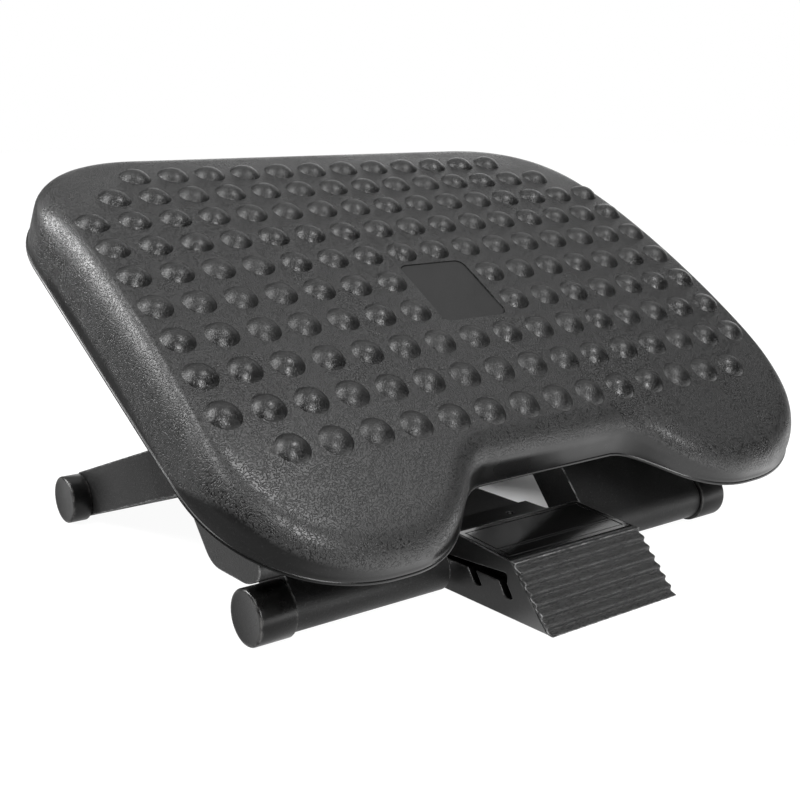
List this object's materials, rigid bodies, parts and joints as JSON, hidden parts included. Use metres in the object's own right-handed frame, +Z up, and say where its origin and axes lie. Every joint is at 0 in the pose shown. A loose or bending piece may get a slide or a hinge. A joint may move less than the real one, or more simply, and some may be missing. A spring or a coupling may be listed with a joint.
{
  "type": "tilting under-desk footrest",
  "caption": "Under-desk footrest: a tilting tray with a domed massage surface on a folding two-leg frame with rubber end caps, and a toe pedal whose notched slots set the height",
  "frame": {"origin": "on the floor, in the middle of the footprint", "axes": "+Z up; +X to the user's right, along the foot tubes; +Y to the back, away from the user"},
  "size_m": [0.44, 0.3564, 0.2399],
  "materials": {
    "tray": "fine pebble grain, charcoal black",
    "badge": "smooth satin",
    "frame": "moulded, fine texture",
    "pedal": "smooth satin",
    "panel": "polished black",
    "grip": "wavy, matt",
    "cap": "smooth, worn rim",
    "pad": "matt",
    "nylon": "natural nylon",
    "steel": "plated"
  },
  "bodies": {
    "pedal_link": {"pedal_body": "pedal", "pedal_panel": "panel", "pedal_grip": "grip", "link_bar": "pedal", "pedal_pad_right": "pad", "pedal_pad_left": "pad", "link_screw_right": "steel", "link_screw_left": "steel"},
    "rear_frame": {"rear_frame": "frame", "rear_end_cap_right": "cap", "rear_end_cap_left": "cap", "rear_axle": "steel", "link_spacer_right": "nylon", "link_spacer_left": "nylon"},
    "front_frame": {"front_frame": "frame", "front_end_cap_right": "cap", "front_end_cap_left": "cap", "latch_rod_right": "steel", "latch_rod_left": "steel", "pivot_axle": "steel", "axle_cap_right": "cap", "axle_cap_left": "cap", "inner_washer_right": "nylon", "inner_washer_left": "nylon"},
    "platform": {"platform": "tray", "badge_plate": "badge", "pivot_bracket_right": "frame", "pivot_bracket_left": "frame", "bracket_screw_1_right": "steel", "bracket_screw_1_left": "steel", "bracket_screw_2_right": "steel", "bracket_screw_2_left": "steel", "outer_washer_right": "nylon", "outer_washer_left": "nylon"}
  },
  "joints": [
    {"name": "height_adjust", "type": "hinge", "parent": "pedal_link", "child": "rear_frame", "pos_m": [0, 0.1623, 0.0159], "axis": [1, 0, 0], "range_deg": [0, 12.2]},
    {"name": "frame_fold", "type": "hinge", "parent": "rear_frame", "child": "front_frame", "pos_m": [0, 0.02736, 0.15302], "axis": [1, 0, 0], "range_deg": [-26.5, 0]},
    {"name": "platform_tilt", "type": "hinge", "parent": "front_frame", "child": "platform", "pos_m": [0, 0.02736, 0.15302], "axis": [-1, 0, 0], "range_deg": [0, 28.5]}
  ],
  "couplings": [
    {"joint": "frame_fold", "follows": "height_adjust", "ratio": -2.15}
  ]
}
